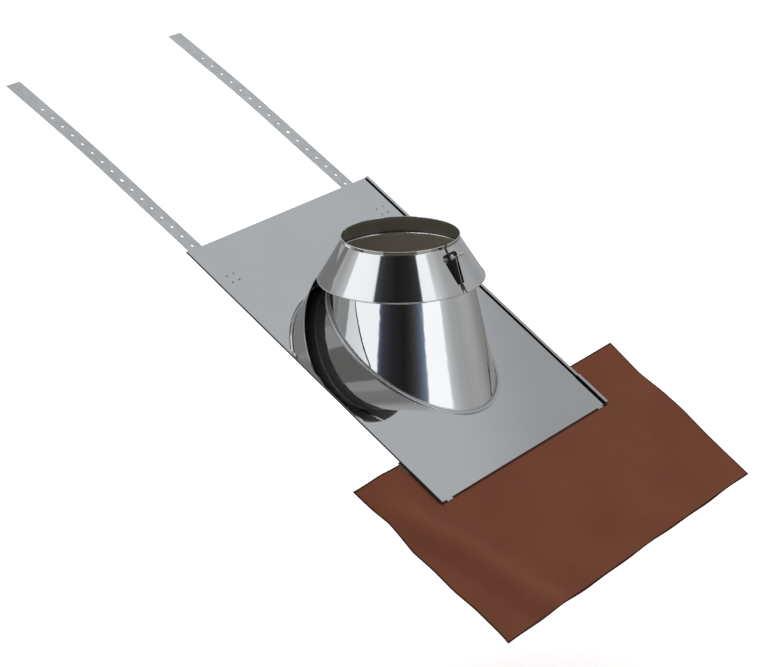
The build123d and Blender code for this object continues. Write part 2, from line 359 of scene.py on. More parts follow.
def inside_mask(nodes, links, place, bead_foot):
    """One where the normal's share along the outward direction from the flue's axis is
    under minus a third, and nothing where it is over minus a sixth or above the foot of
    the top bead."""
    parts = nodes.new("ShaderNodeSeparateXYZ")
    level = nodes.new("ShaderNodeCombineXYZ")
    outward = nodes.new("ShaderNodeVectorMath")
    outward.operation = "NORMALIZE"
    share = nodes.new("ShaderNodeVectorMath")
    share.operation = "DOT_PRODUCT"
    links.new(place.outputs["Object"], parts.inputs["Vector"])
    links.new(parts.outputs["X"], level.inputs["X"])
    links.new(parts.outputs["Y"], level.inputs["Y"])
    links.new(level.outputs["Vector"], outward.inputs[0])
    links.new(outward.outputs["Vector"], share.inputs[0])
    links.new(place.outputs["Normal"], share.inputs[1])
    faces_in = ramp_mask(nodes, links, share.outputs["Value"], FACES_OUT, FACES_IN)
    below = bead_foot * MM, (bead_foot - MASK_EDGE) * MM
    below_bead = ramp_mask(nodes, links, parts.outputs["Z"], *below)
    return combined(nodes, links, "MULTIPLY", faces_in, below_bead)


def duller(nodes, links, mask, look, dull_look):
    """Colour, roughness and metallic share, each replaced where the mask is one. A look
    without a socket for the metallic share is metal all over."""
    result = []
    for socket, dull in zip(look, dull_look):
        mix = nodes.new("ShaderNodeMix")
        mix.data_type = "RGBA" if isinstance(dull, tuple) else "FLOAT"
        mix.inputs["B"].default_value = (*dull, 1.0) if isinstance(dull, tuple) else dull
        links.new(mask, mix.inputs["Factor"])
        if socket is None:
            mix.inputs["A"].default_value = 1.0
        else:
            links.new(socket, mix.inputs["A"])
        result.append(mix.outputs["Result"])
    return result


# %% Cone, collar, plate and carrier steel
# Each look is a colour, a roughness and a metallic share. Heights are in millimetres
# from the middle of the collar's neck.
# The two inside looks are partly the duller inner finish and partly painted shade; the
# neck's is the darker copy
CONE_INSIDE_DULL_AND_SHADE_LOOK = ((0.27, 0.245, 0.21), 0.30, 0.55)
NECK_INSIDE_DULL_AND_SHADE_LOOK = ((0.17, 0.16, 0.135), 0.30, 0.55)
# Painted light: the inside of the collar's skirt is paler and less metallic, for the light
# the plate throws up under it
UNDERSIDE_PAINTED_LIGHT_LOOK = ((0.50, 0.50, 0.49), 0.45, 0.20)
# Painted shade: the cone's part under the collar is dark and matt
COVERED_PAINTED_SHADE_LOOK = ((0.09, 0.09, 0.088), 0.50, 0.0)
# Painted shadow: a near-black line along the slit's edges
SLIT_PAINTED_SHADOW_LOOK = ((0.012, 0.012, 0.012), 0.50, 0.0)
SEAM_LOOK = ((0.64, 0.65, 0.67), 0.38, 1.0)
# Painted shade on the faces of the folds that point left
FOLD_PAINTED_SHADE_LOOK = ((0.045, 0.046, 0.048), 0.35, 0.6)
CONE_BEAD_FOOT, RIM_BEAD_FOOT = -32.4, 1.6
UNDERSIDE_FROM, UNDERSIDE_TO = -30.0, -34.0
COVERED_FROM, COVERED_TO = -81.0, -77.0
SLIT_BEARING = math.radians(-96.75)
SLIT_SHADE, SLIT_SPREAD = 2.7, 0.029
SLIT_FRONT_FROM, SLIT_FRONT_TO = 50.0, 60.0
EARS_FROM, EARS_TO, EAR_EDGE = -10.5, -58.0, 0.5
SEAM_TOP, SEAM_EDGE = 4.5, 0.2
FOLD_FACES_AWAY, FOLD_FACES_LEFT = 0.35, 0.55
NECK_OFF_ROOF = NECK_ABOVE_ROOF * math.cos(PITCH)


def slit_painted_shadow_mask(nodes, links, place, height):
    """Painted shadow along the slit's edges where no ear stands: one where the distance
    from the slit's plane, less a small share of the depth, is under the shade's width."""
    outward = (math.cos(SLIT_BEARING), math.sin(SLIT_BEARING), 0.0)
    sideways = (-outward[1], outward[0], 0.0)
    aside = nodes.new("ShaderNodeMath")
    aside.operation = "ABSOLUTE"
    links.new(distance_along(nodes, links, place, sideways), aside.inputs[0])
    widened = nodes.new("ShaderNodeMath")
    widened.operation = "MULTIPLY_ADD"
    widened.inputs[1].default_value = SLIT_SPREAD
    links.new(height, widened.inputs[0])
    links.new(aside.outputs["Value"], widened.inputs[2])
    close = (SLIT_SHADE + MASK_EDGE) * MM, SLIT_SHADE * MM
    near = ramp_mask(nodes, links, widened.outputs["Value"], *close)
    in_front = distance_along(nodes, links, place, outward)
    front = ramp_mask(nodes, links, in_front, SLIT_FRONT_FROM * MM, SLIT_FRONT_TO * MM)
    above = ramp_mask(nodes, links, height, EARS_FROM * MM, (EARS_FROM + EAR_EDGE) * MM)
    below = ramp_mask(nodes, links, height, EARS_TO * MM, (EARS_TO - EAR_EDGE) * MM)
    off_ears = combined(nodes, links, "MAXIMUM", above, below)
    near_front = combined(nodes, links, "MULTIPLY", near, front)
    return combined(nodes, links, "MULTIPLY", near_front, off_ears)


def round_steel(name, bead_foot, is_cone):
    """Polished steel with a dull inside, darkened as painted shade. The cone also has a
    dark part under the collar, which is painted shade, and a matt seam at its foot. The
    collar is paler under its skirt than in its neck, which is painted light, and black
    along its slit, which is a painted shadow."""
    material, place, colour, roughness = steel_nodes(name, **POLISHED)
    nodes, links = material.node_tree.nodes, material.node_tree.links
    mask = inside_mask(nodes, links, place, bead_foot)
    inside_dull_and_shade_look = CONE_INSIDE_DULL_AND_SHADE_LOOK if is_cone else NECK_INSIDE_DULL_AND_SHADE_LOOK
    # Inside: a duller finish, with its colour darkened as painted shade
    look = duller(nodes, links, mask, (colour, roughness, None), inside_dull_and_shade_look)
    height = distance_along(nodes, links, place, (0.0, 0.0, 1.0))
    if is_cone:
        below = CONE_BEAD_FOOT * MM, (CONE_BEAD_FOOT - MASK_EDGE) * MM
        below_bead = ramp_mask(nodes, links, height, *below)
        outer = combined(nodes, links, "SUBTRACT", below_bead, mask)
        # Painted shade on the part of the cone that the collar covers
        covered = ramp_mask(nodes, links, height, COVERED_FROM * MM, COVERED_TO * MM)
        covered = combined(nodes, links, "MULTIPLY", covered, outer)
        look = duller(nodes, links, covered, look, COVERED_PAINTED_SHADE_LOOK)
        off_roof = distance_along(nodes, links, place, OFF_ROOF)
        seam_top = (SEAM_TOP - NECK_OFF_ROOF) * MM
        seam = ramp_mask(nodes, links, off_roof, seam_top + SEAM_EDGE * MM, seam_top)
        look = duller(nodes, links, seam, look, SEAM_LOOK)
    else:
        # Painted light on the inside of the skirt below the neck
        low = ramp_mask(nodes, links, height, UNDERSIDE_FROM * MM, UNDERSIDE_TO * MM)
        underside = combined(nodes, links, "MULTIPLY", low, mask)
        look = duller(nodes, links, underside, look, UNDERSIDE_PAINTED_LIGHT_LOOK)
        # Painted shadow along the slit's edges
        slit = slit_painted_shadow_mask(nodes, links, place, height)
        look = duller(nodes, links, slit, look, SLIT_PAINTED_SHADOW_LOOK)
    return finish_steel(material, *look)


# Painted shade: the faces of the folds that point left get a near-black look
def folded_steel_material(name):
    """Polished steel that is dark on the sides of its folds that face left, as the
    photograph shows them."""
    material, place, colour, roughness = steel_nodes(name, **POLISHED)
    nodes, links = material.node_tree.nodes, material.node_tree.links
    share = nodes.new("ShaderNodeVectorMath")
    share.operation = "DOT_PRODUCT"
    share.inputs[1].default_value = tuple(-ACROSS)
    links.new(place.outputs["Normal"], share.inputs[0])
    mask = ramp_mask(nodes, links, share.outputs["Value"], FOLD_FACES_AWAY, FOLD_FACES_LEFT)
    look = duller(nodes, links, mask, (colour, roughness, None), FOLD_PAINTED_SHADE_LOOK)
    return finish_steel(material, *look)


cone_steel = round_steel("cone_steel", CONE_BEAD_FOOT, is_cone=True)
collar_steel = round_steel("collar_steel", RIM_BEAD_FOOT, is_cone=False)
plate_steel = folded_steel_material("plate_steel")
carrier_steel = folded_steel_material("carrier_steel")
print("cone, collar, plate and carrier steel are ready")

# %% Dress the CAD nodes
NODE_FINISH = {
    "base_plate": plate_steel,
    "flashing_cone": cone_steel,
    "storm_collar": collar_steel,
    "apron_carrier": carrier_steel,
    "left_strap": strap_steel,
    "right_strap": strap_steel,
    "clamp_screw": screw_steel,
    "clamp_nut": screw_steel,
}
for node, finish in NODE_FINISH.items():
    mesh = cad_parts[node].data
    mesh.materials.clear()
    mesh.materials.append(finish)
print("dressed:", ", ".join(NODE_FINISH))

# %% [markdown]
# ## The apron
# The apron is a soft sheet with a matt brown coating. It lies flat where the carrier
# covers it, and its free edges have been bent a little, so slow waves run in from them.
# The CAD solid could show it, but that has only a few long faces. A fine grid with a
# height for each point gives the slow light and shade of the real one. All the sizes
# below are in millimetres.

# %% Apron shape
SHEET = 0.8
SEAT_GAP = 0.3
APRON_SHEET = 1.2
APRON_LEFT, APRON_RIGHT = -389.0, 405.0
APRON_TOP, APRON_BOTTOM = -209.0, -554.5
HELD_HALF_WIDTH = 264.6
HELD_TO = -306.2
APRON_COLUMNS, APRON_ROWS = 241, 121
# From the held part, the waves grow to their full height over this distance
FREE_RUN = 55.0
# How far the heights of the two sides reach inwards, and over how much they are averaged
LEFT_REACH, RIGHT_REACH, SIDE_AVERAGE = 52.0, 75.0, 14.0
# A point of the ridge's line, the line's fall for each step across, the ridge's width,
# and the place down the slope where it starts, with the run to its full height
RIDGE_ACROSS, RIDGE_UP, RIDGE_FALL = -322.0, -283.0, 2.7
RIDGE_WIDTH, RIDGE_START, RIDGE_RUN = 26.0, -230.0, 70.0
VALLEY_ASIDE, VALLEY_WIDTH = 50.0, 36.0
RIDGE_HEIGHT, VALLEY_DEPTH = 2.4, 2.2
SWELL_HEIGHT, SWELL_LENGTH, SWELL_SLANT = 0.8, 330.0, 0.5
BOW_HEIGHT, BOW_ACROSS, BOW_WIDTH, BOW_REACH = 3.6, -318.0, 30.0, 34.0
WANDER_HEIGHT, WANDER_SHORT, WANDER_LONG = 1.1, 31.0, 77.0


def smooth_step(value):
    """Three times the square less twice the cube, for values held between 0 and 1."""
    held = np.clip(value, 0.0, 1.0)
    return held * held * (3.0 - 2.0 * held)


# How far each free side stands off its flat place, read down the slope: distance up
# the slope (negative is down) and height
LEFT_SIDE = ((-209, -3.4), (-251, -2.0), (-287, 3.0), (-318, 0.0), (-345, -4.2))
LEFT_SIDE += ((-389, -0.8), (-436, -1.2), (-480, 3.4), (-536, 3.6), (-557, 1.5))
RIGHT_SIDE = ((-207, 3.4), (-248, 0.6), (-287, -2.0), (-343, 3.0), (-390, 3.6))
RIGHT_SIDE += ((-452, -0.6), (-499, -1.8), (-557, -2.4))


def side_height(side, up):
    """The side's heights joined by straight runs, then averaged over a short distance
    to round them off."""
    places, heights = np.array(side[::-1], dtype=float).T
    shifts = np.linspace(-SIDE_AVERAGE / 2, SIDE_AVERAGE / 2, 9)
    return np.mean([np.interp(up + shift, places, heights) for shift in shifts], axis=0)


def ridge_and_valley(across, up):
    """Two long soft bands, from nothing to one, that run down from the left channel: a
    ridge, and a valley at its left."""
    past_ridge = (up - RIDGE_UP) + RIDGE_FALL * (across - RIDGE_ACROSS)
    past_ridge = past_ridge / math.hypot(1.0, RIDGE_FALL)
    grown = smooth_step((RIDGE_START - up) / RIDGE_RUN)
    ridge = np.exp(-((past_ridge / RIDGE_WIDTH) ** 2)) * grown
    valley = np.exp(-(((past_ridge + VALLEY_ASIDE) / VALLEY_WIDTH) ** 2))
    return ridge, valley


def free_share(across, up):
    """Nothing where the carrier holds the sheet, rising to one over the free run."""
    outside_x = np.maximum(np.abs(across) - HELD_HALF_WIDTH, 0.0)
    outside_y = np.maximum(HELD_TO - up, 0.0)
    return smooth_step(np.hypot(outside_x, outside_y) / FREE_RUN)


def apron_height(across, up):
    """How far the upper face stands off its flat place: the heights of the free sides,
    fading inwards, the ridge and the valley, a slow swell, and a bow in the top edge at
    the left, all faded out where the carrier holds the sheet."""
    left_fade = np.exp(-(((across - APRON_LEFT) / LEFT_REACH) ** 2))
    right_fade = np.exp(-(((APRON_RIGHT - across) / RIGHT_REACH) ** 2))
    sides = side_height(LEFT_SIDE, up) * left_fade
    sides = sides + side_height(RIGHT_SIDE, up) * right_fade
    ridge, valley = ridge_and_valley(across, up)
    swell = SWELL_HEIGHT * np.cos(2 * math.pi * (across - SWELL_SLANT * up) / SWELL_LENGTH)
    bow_across = (across - BOW_ACROSS) / BOW_WIDTH
    bow_up = (up - APRON_TOP) / BOW_REACH
    bowed_corner = BOW_HEIGHT * np.exp(-(bow_across**2) - bow_up**2)
    folds = RIDGE_HEIGHT * ridge - VALLEY_DEPTH * valley * (1.0 - left_fade)
    return free_share(across, up) * (sides + (folds + swell + bowed_corner))


def apron_grid():
    """The places of the sheet's points across and up the slope, row by row from the top.
    The bottom edge wanders by a millimetre."""
    share_x = np.linspace(0.0, 1.0, APRON_COLUMNS)[None, :]
    share_y = np.linspace(0.0, 1.0, APRON_ROWS)[:, None]
    across = APRON_LEFT + (APRON_RIGHT - APRON_LEFT) * share_x
    wander = WANDER_HEIGHT * np.sin(across / WANDER_SHORT)
    wander = wander * np.sin(across / WANDER_LONG + 1.0)
    up = APRON_TOP + (APRON_BOTTOM + wander - APRON_TOP) * share_y
    return np.broadcast_to(across, up.shape), up


def there_and_back(upper, lower):
    """One closed ring for each row: out along the upper face and back along the lower."""
    return np.concatenate([upper, lower[:, ::-1]], axis=1)


def end_faces(rows, columns):
    """The faces that close the sheet at its top and bottom. Each joins two neighbours of
    the upper face to the two under them."""
    first = np.arange(columns // 2 - 1)
    ends = []
    for row, turn in ((0, 1), (rows - 1, -1)):
        upper, lower = row * columns + first, (row + 1) * columns - 1 - first
        ends.append(np.stack([upper, upper + 1, lower - 1, lower], axis=-1)[:, ::turn])
    return np.concatenate(ends)


across, up = apron_grid()
height = apron_height(across, up)
top_face = -SHEET - SEAT_GAP + height
upper = on_roof(across, up, top_face)
lower = on_roof(across, up, top_face - APRON_SHEET)
ridge, valley = ridge_and_valley(across, up)
# Painted light and shade: each point's value is higher on the ridge and lower in the valley
tone = 0.5 + 0.5 * free_share(across, up) * (ridge - valley)
rings, ridge_light_and_shade = there_and_back(upper, lower), there_and_back(tone, tone)
rows, columns = rings.shape[:2]
side_faces = ring_faces(rows, columns)
apron_faces = np.concatenate([side_faces, end_faces(rows, columns)])
apron = new_piece("soft_apron", rings.reshape(-1, 3), apron_faces)
column_of_face = np.arange(len(side_faces)) % columns
is_cut_edge = np.ones(len(apron_faces), dtype=np.int32)
is_cut_edge[: len(side_faces)] = np.isin(column_of_face, (APRON_COLUMNS - 1, columns - 1))
apron.data.polygons.foreach_set("material_index", is_cut_edge)
ridge_light_and_shade_points = apron.data.attributes.new("ridge_light_and_shade", "FLOAT", "POINT")
ridge_light_and_shade_points.data.foreach_set("value", ridge_light_and_shade.astype(np.float32).ravel())
print("the apron's waves in mm:", round(height.min(), 2), "to", round(height.max(), 2))

# %% [markdown]
# Which way the faces point depends on the order of the corners, so Blender works it out
# once more: on a closed sheet, outwards is certain.


# %% Outward faces
def face_outwards(piece):
    """Turns every face of a closed mesh so that its normal points out of it."""
    shell = bmesh.new()
    shell.from_mesh(piece.data)
    bmesh.ops.recalc_face_normals(shell, faces=shell.faces)
    shell.to_mesh(piece.data)
    shell.free()


SHARP_FROM = math.radians(50.0)
face_outwards(apron)
apron.data.set_sharp_from_angle(angle=SHARP_FROM)
print("the apron's faces point outwards")

# %% [markdown]
# ## The coating of the apron
# The coating is matt, with a fine pebbled grain and a slow drift between two browns.
# It could be one flat brown, but then the waves would look like plastic. The grain is a
# Voronoi bump a millimetre across, and the drift is noise a hand wide. The ridge is
# painted lighter and the valley painted darker, as painted light and shade, which a value
# on the mesh's points carries. A dark line follows the cut edges, and a line of painted
# shade follows the plate's foot. Masks by place draw both, because the light alone leaves
# no line there.


# %% Apron coating
WHITE = (1.0, 1.0, 1.0, 1.0)
# Distance along the slope's axis from the model's origin to the roof's own
ROOF_ORIGIN_UP = -NECK_ABOVE_ROOF * float(UP_SLOPE[2])
# The line is whole up to this share of its width
EDGE_LINE, EDGE_WHOLE = 3.0, 0.8
# The shade under the plate's foot: its place, where it starts and is whole below that
# foot, the softness of its two ends, and its strength
PLATE_FOOT, PLATE_HALF = -303.0, 261.0
SHADE_STARTS, SHADE_WHOLE, SHADE_END = 5.0, 3.0, 1.0
PLATE_SHADE = 0.8
EDGE_TONE = (0.030, 0.011, 0.008, 1.0)
# Painted shade in the valley and painted light on the ridge, as factors on the brown
VALLEY_PAINTED_SHADE, RIDGE_PAINTED_LIGHT = (0.84, 0.80, 0.82, 1.0), (1.14, 1.20, 1.34, 1.0)


def edge_line_mask(nodes, links, place):
    """One within the line's width of the sheet's sides, top or bottom."""
    masks = []
    line = EDGE_LINE * MM
    for direction, low, high, origin in (
        (ACROSS, APRON_LEFT, APRON_RIGHT, 0.0),
        (UP_SLOPE, APRON_BOTTOM, APRON_TOP, ROOF_ORIGIN_UP),
    ):
        along = distance_along(nodes, links, place, direction)
        for edge, inwards in (((low + origin) * MM, line), ((high + origin) * MM, -line)):
            limits = edge + inwards, edge + EDGE_WHOLE * inwards
            masks.append(ramp_mask(nodes, links, along, *limits))
    whole = masks[0]
    for mask in masks[1:]:
        whole = combined(nodes, links, "MAXIMUM", whole, mask)
    return whole


def plate_shade_mask(nodes, links, place):
    """The shade along the plate's foot: the part of the apron that lies above a line just
    below the foot, as wide as the plate, times the strength."""
    across = distance_along(nodes, links, place, ACROSS)
    up = distance_along(nodes, links, place, UP_SLOPE)
    foot = PLATE_FOOT + ROOF_ORIGIN_UP
    limits = (foot - SHADE_STARTS) * MM, (foot - SHADE_WHOLE) * MM
    mask = ramp_mask(nodes, links, up, *limits)
    for side in (-1.0, 1.0):
        limits = side * (PLATE_HALF + SHADE_END) * MM, side * (PLATE_HALF - SHADE_END) * MM
        inside_side = ramp_mask(nodes, links, across, *limits)
        mask = combined(nodes, links, "MULTIPLY", mask, inside_side)
    strength = nodes.new("ShaderNodeMath")
    strength.operation = "MULTIPLY"
    strength.inputs[1].default_value = PLATE_SHADE
    links.new(mask, strength.inputs[0])
    return strength.outputs["Value"]


def coating_material(name, dark, light):
    """A rough brown dielectric: noise picks the brown and the roughness, the mesh's value
    of painted light and shade lightens the ridge and darkens the valley, dark lines lie
    over it, one of them painted shade along the plate's foot, and small cells make the
    grain."""
    material = bpy.data.materials.new(name)
    material.use_nodes = True
    nodes, links = material.node_tree.nodes, material.node_tree.links
    shader = nodes["Principled BSDF"]
    shader.inputs["Specular IOR Level"].default_value = 0.12
    place = nodes.new("ShaderNodeTexCoord")
    drift = nodes.new("ShaderNodeTexNoise")
    drift.inputs["Scale"].default_value = 9.0
    drift.inputs["Detail"].default_value = 5.0
    brown = nodes.new("ShaderNodeValToRGB")
    brown.color_ramp.elements[0].position = 0.3
    brown.color_ramp.elements[0].color = (*dark, 1.0)
    brown.color_ramp.elements[1].position = 0.7
    brown.color_ramp.elements[1].color = (*light, 1.0)
    # The point value of painted light and shade tints the brown
    ridge_light_and_shade_value = nodes.new("ShaderNodeAttribute")
    ridge_light_and_shade_value.attribute_name = "ridge_light_and_shade"
    ridge_light_and_shade_tone = nodes.new("ShaderNodeValToRGB")
    ridge_light_and_shade_tone.color_ramp.elements[0].color = VALLEY_PAINTED_SHADE
    ridge_light_and_shade_tone.color_ramp.elements[1].color = RIDGE_PAINTED_LIGHT
    plain = ridge_light_and_shade_tone.color_ramp.elements.new(0.5)
    plain.color = WHITE
    toned = nodes.new("ShaderNodeMix")
    toned.data_type = "RGBA"
    toned.blend_type = "MULTIPLY"
    toned.inputs["Factor"].default_value = 1.0
    edged = nodes.new("ShaderNodeMix")
    edged.data_type = "RGBA"
    edged.inputs["B"].default_value = EDGE_TONE
    grain = nodes.new("ShaderNodeTexVoronoi")
    grain.inputs["Scale"].default_value = 900.0
    matt = nodes.new("ShaderNodeMapRange")
    matt.inputs["To Min"].default_value = 0.60
    matt.inputs["To Max"].default_value = 0.80
    bump = nodes.new("ShaderNodeBump")
    bump.inputs["Strength"].default_value = 0.3
    bump.inputs["Distance"].default_value = 0.0002
    links.new(place.outputs["Object"], drift.inputs["Vector"])
    links.new(place.outputs["Object"], grain.inputs["Vector"])
    links.new(drift.outputs["Fac"], brown.inputs["Fac"])
    links.new(ridge_light_and_shade_value.outputs["Fac"], ridge_light_and_shade_tone.inputs["Fac"])
    links.new(brown.outputs["Color"], toned.inputs["A"])
    links.new(ridge_light_and_shade_tone.outputs["Color"], toned.inputs["B"])
    links.new(toned.outputs["Result"], edged.inputs["A"])
    edge_lines = edge_line_mask(nodes, links, place)
    plate_shade = plate_shade_mask(nodes, links, place)
    dark_lines = combined(nodes, links, "MAXIMUM", edge_lines, plate_shade)
    links.new(dark_lines, edged.inputs["Factor"])
    links.new(edged.outputs["Result"], shader.inputs["Base Color"])
    links.new(drift.outputs["Fac"], matt.inputs["Value"])
    links.new(matt.outputs["Result"], shader.inputs["Roughness"])
    links.new(grain.outputs["Distance"], bump.inputs["Height"])
    links.new(bump.outputs["Normal"], shader.inputs["Normal"])
    return material


BROWNS = {"dark": (0.138, 0.044, 0.021), "light": (0.158, 0.052, 0.026)}
CUT_BROWNS = {"dark": (0.030, 0.011, 0.007), "light": (0.050, 0.018, 0.011)}
apron.data.materials.append(coating_material("apron_coating", **BROWNS))
apron.data.materials.append(coating_material("apron_cut_edge", **CUT_BROWNS))
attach(apron, "root")
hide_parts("apron")
print("the apron is 0.794 by 0.3455 m flat")

# %% [markdown]
# ## Weld marks
# Four spot welds hold each strap under the plate. On the upper face each is a shallow
# round dimple with a low rim. One profile, turned about its own middle, gives all eight.

# %% Weld marks
WELD_STEP_ACROSS, WELD_STEP_UP = 18.0, 15.0
WELD_CENTRES = ((-221.0, 227.0), (216.0, 230.0))
WELD_SECTORS = 24
# Radius and height over the plate's face, from the middle of the mark outwards. The
# last two rows lie under the face and close the mark.
WELD_PROFILE = ((0.0, 0.05), (0.9, 0.07), (1.4, 0.3), (1.8, 0.5), (2.2, 0.3), (2.4, 0.0))
WELD_PROFILE += ((2.4, -0.2), (0.0, -0.2))
SAME_PLACE = 1e-6


def weld_marks():
    """Each mark is the profile's radius and height, carried round a full turn on the
    plate's upper face."""
    turn = np.linspace(0.0, 2.0 * math.pi, WELD_SECTORS, endpoint=False)
    radius, height = np.array(WELD_PROFILE).T
    points, faces, count = [], [], 0
    for centre_x, centre_y in WELD_CENTRES:
        for step_x in (-0.5, 0.5):
            for step_y in (-0.5, 0.5):
                middle_x = centre_x + step_x * WELD_STEP_ACROSS
                middle_y = centre_y + step_y * WELD_STEP_UP
                across = middle_x + radius[:, None] * np.cos(turn)
                up = middle_y + radius[:, None] * np.sin(turn)
                mark = on_roof(across, up, SHEET + height[:, None])
                points.append(mark.reshape(-1, 3))
                faces.append(ring_faces(len(radius), len(turn)) + count)
                count += mark.size // 3
    return np.concatenate(points), np.concatenate(faces)


def merge_doubles(piece):
    """Joins points that lie on each other, such as those at the middle of a mark."""
    shell = bmesh.new()
    shell.from_mesh(piece.data)
    bmesh.ops.remove_doubles(shell, verts=shell.verts, dist=SAME_PLACE)
    shell.to_mesh(piece.data)
    shell.free()


welds = new_piece("weld_marks", *weld_marks())
merge_doubles(welds)
face_outwards(welds)
welds.data.materials.append(weld_steel)
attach(welds, "root")

# %% [markdown]
# ## The studio
# A mirror shows its surroundings, so the surroundings are part of its look. Round the
# object stands a big shell that only mirrors can see: a dark curtain behind the camera
# between two white panels, greys elsewhere, dark brown low down, darker grey high up and
# a white patch right overhead. The camera sees a white world, and matt surfaces are lit
# by that world and one soft lamp.

# %% Surroundings for the mirrors
CAMERA_BEARING = -144.717
SHELL_RADIUS = 12.0
SHELL_RINGS, SHELL_SECTORS = 49, 96
# Bearing from the camera's own, in degrees, and the colour of the shell there. The
# upper bands are what the plate and the collar's front show, and the lower ones are
# what the cone and the collar's sides show.
UPPER_BANDS = (
    (-180.0, (0.430, 0.445, 0.460)),
    (-130.0, (0.42, 0.43, 0.44)),
    (-92.0, (0.52, 0.52, 0.53)),
    (-90.5, (0.93, 0.935, 0.96)),
    (-48.0, (0.90, 0.905, 0.925)),
    (-45.5, (0.80, 0.81, 0.85)),
    (-43.5, (0.10, 0.11, 0.14)),
    (-41.0, (0.052, 0.054, 0.064)),
    (-30.0, (0.026, 0.027, 0.030)),
    (-8.0, (0.012, 0.012, 0.012)),
    (14.0, (0.018, 0.018, 0.018)),
    (28.0, (0.034, 0.035, 0.038)),
    (32.0, (0.075, 0.078, 0.090)),
    (33.5, (0.90, 0.905, 0.92)),
    (52.0, (0.92, 0.925, 0.93)),
    (58.0, (0.48, 0.48, 0.48)),
    (80.0, (0.37, 0.37, 0.365)),
    (115.0, (0.39, 0.395, 0.40)),
    (132.0, (0.408, 0.417, 0.427)),
    (142.0, (0.422, 0.436, 0.450)),
    (180.0, (0.430, 0.445, 0.460)),
)
LOWER_BANDS = (
    (-180.0, (0.36, 0.37, 0.38)),
    (-135.0, (0.36, 0.365, 0.37)),
    (-129.0, (0.17, 0.17, 0.165)),
    (-120.0, (0.17, 0.17, 0.165)),
    (-117.0, (0.37, 0.37, 0.365)),
    (-107.0, (0.35, 0.35, 0.345)),
    (-98.0, (0.45, 0.455, 0.46)),
    (-92.0, (0.52, 0.52, 0.53)),
    (-90.5, (0.93, 0.935, 0.96)),
    (-50.0, (0.92, 0.925, 0.93)),
    (-35.0, (0.92, 0.92, 0.94)),
    (-33.0, (0.10, 0.11, 0.16)),
    (-28.0, (0.043, 0.045, 0.055)),
    (-15.0, (0.020, 0.020, 0.021)),
    (2.0, (0.012, 0.012, 0.012)),
    (9.0, (0.022, 0.022, 0.021)),
    (14.0, (0.036, 0.037, 0.038)),
    (20.0, (0.060, 0.065, 0.075)),
    (26.0, (0.11, 0.14, 0.20)),
    (30.5, (0.20, 0.24, 0.33)),
    (32.0, (1.0, 1.0, 1.0)),
    (59.0, (1.0, 1.0, 1.0)),
    (62.0, (0.56, 0.56, 0.57)),
    (67.0, (0.46, 0.47, 0.48)),
    (75.0, (0.37, 0.37, 0.37)),
    (88.0, (0.34, 0.34, 0.335)),
    (105.0, (0.38, 0.38, 0.385)),
    (118.0, (0.37, 0.37, 0.375)),
    (131.0, (0.31, 0.315, 0.32)),
    (142.0, (0.31, 0.315, 0.32)),
    (180.0, (0.36, 0.37, 0.38)),
)
SHELL_STRENGTH = 1.35
FLOOR_TONE = (0.10, 0.085, 0.062, 1.0)
CEILING_TONE = (0.20, 0.195, 0.18, 1.0)
CEILING_SHARE = 0.80
WINDOW_TONE = (0.95, 0.95, 0.96, 1.0)
# Height angles in degrees between which one tone gives way to the next
FLOOR_TO_BANDS = (-25.0, -4.0)
LOWER_TO_UPPER = (34.5, 38.0)
BANDS_TO_CEILING = (46.0, 50.0)
CEILING_TO_WINDOW = (75.0, 79.0)


def band_ramp(nodes, links, bearing, bands):
    """A colour ramp once round the shell, with a stop for each band's edge."""
    ramp = nodes.new("ShaderNodeValToRGB")
    stops = ramp.color_ramp.elements
    while len(stops) < len(bands):
        stops.new(0.5)
    for stop, (degrees, colour) in zip(stops, bands):
        stop.position = degrees / 360.0 + 0.5
        stop.color = (*colour, 1.0)
    links.new(bearing, ramp.inputs["Fac"])
    return ramp.outputs["Color"]


def height_share(nodes, links, height, angles, most=1.0):
    """Nothing below the first height angle and the most above the second, rounded off."""
    low, high = (math.sin(math.radians(angle)) * SHELL_RADIUS for angle in angles)
    share = nodes.new("ShaderNodeMapRange")
    share.interpolation_type = "SMOOTHSTEP"
    share.inputs["From Min"].default_value = low
    share.inputs["From Max"].default_value = high
    share.inputs["To Max"].default_value = most
    links.new(height, share.inputs["Value"])
    return share.outputs["Result"]


def mixed(nodes, links, share, low, high):
    """The low colour where the share is nothing and the high one where it is one. A
    colour is a socket or four plain numbers."""
    mix = nodes.new("ShaderNodeMix")
    mix.data_type = "RGBA"
    links.new(share, mix.inputs["Factor"])
    for name, colour in (("A", low), ("B", high)):
        if isinstance(colour, tuple):
            mix.inputs[name].default_value = colour
        else:
            links.new(colour, mix.inputs[name])
    return mix.outputs["Result"]


